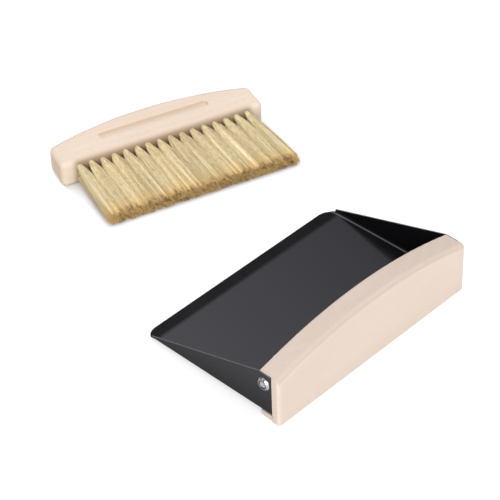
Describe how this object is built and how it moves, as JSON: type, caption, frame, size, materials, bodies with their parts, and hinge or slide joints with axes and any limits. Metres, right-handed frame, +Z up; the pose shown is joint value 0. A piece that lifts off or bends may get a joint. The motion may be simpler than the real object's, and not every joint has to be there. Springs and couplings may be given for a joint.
{
  "type": "dustpan and brush",
  "caption": "Folded steel dustpan with a crowned beech handle block, and a beech hand brush with drilled tufts of natural bristle lying in front of it.",
  "frame": {"origin": "middle of the underside of the pan's handle block, on the surface the set stands on", "axes": "+Z up, +Y from the handle towards the pan's lip and the brush, +X to the right seen from behind the handle"},
  "size_m": [0.2877, 0.3824, 0.0635],
  "materials": {
    "powder_coated_steel": "satin black powder coat",
    "beech": "sanded, unvarnished",
    "bright_steel": "polished plating",
    "magnet_plating": "nickel plating",
    "galvanised_wire": "drawn wire",
    "natural_bristle": "undyed bristle with darker tips"
  },
  "bodies": {
    "dustpan": {"tray": "powder_coated_steel", "pan_handle": "beech", "left_cup_washer": "bright_steel", "left_screw": "bright_steel", "right_cup_washer": "bright_steel", "right_screw": "bright_steel"},
    "brush": {"brush_block": "beech", "brush_magnet": "magnet_plating", "tuft_staples": "galvanised_wire", "tuft_lower_01": "natural_bristle", "tuft_lower_02": "natural_bristle", "tuft_lower_03": "natural_bristle", "tuft_lower_04": "natural_bristle", "tuft_lower_05": "natural_bristle", "tuft_lower_06": "natural_bristle", "tuft_lower_07": "natural_bristle", "tuft_lower_08": "natural_bristle", "tuft_lower_09": "natural_bristle", "tuft_lower_10": "natural_bristle", "tuft_lower_11": "natural_bristle", "tuft_lower_12": "natural_bristle", "tuft_lower_13": "natural_bristle", "tuft_lower_14": "natural_bristle", "tuft_lower_15": "natural_bristle", "tuft_lower_16": "natural_bristle", "tuft_middle_01": "natural_bristle", "tuft_middle_02": "natural_bristle", "tuft_middle_03": "natural_bristle", "tuft_middle_04": "natural_bristle", "tuft_middle_05": "natural_bristle", "tuft_middle_06": "natural_bristle", "tuft_middle_07": "natural_bristle", "tuft_middle_08": "natural_bristle", "tuft_middle_09": "natural_bristle", "tuft_middle_10": "natural_bristle", "tuft_middle_11": "natural_bristle", "tuft_middle_12": "natural_bristle", "tuft_middle_13": "natural_bristle", "tuft_middle_14": "natural_bristle", "tuft_middle_15": "natural_bristle", "tuft_middle_16": "natural_bristle", "tuft_upper_01": "natural_bristle", "tuft_upper_02": "natural_bristle", "tuft_upper_03": "natural_bristle", "tuft_upper_04": "natural_bristle", "tuft_upper_05": "natural_bristle", "tuft_upper_06": "natural_bristle", "tuft_upper_07": "natural_bristle", "tuft_upper_08": "natural_bristle", "tuft_upper_09": "natural_bristle", "tuft_upper_10": "natural_bristle", "tuft_upper_11": "natural_bristle", "tuft_upper_12": "natural_bristle", "tuft_upper_13": "natural_bristle", "tuft_upper_14": "natural_bristle", "tuft_upper_15": "natural_bristle", "tuft_upper_16": "natural_bristle"}
  },
  "joints": [
    {"name": "brush_lift", "type": "slide", "parent": "dustpan", "child": "brush", "axis": [0, 0, 1], "range_m": [0, 0.15]}
  ]
}
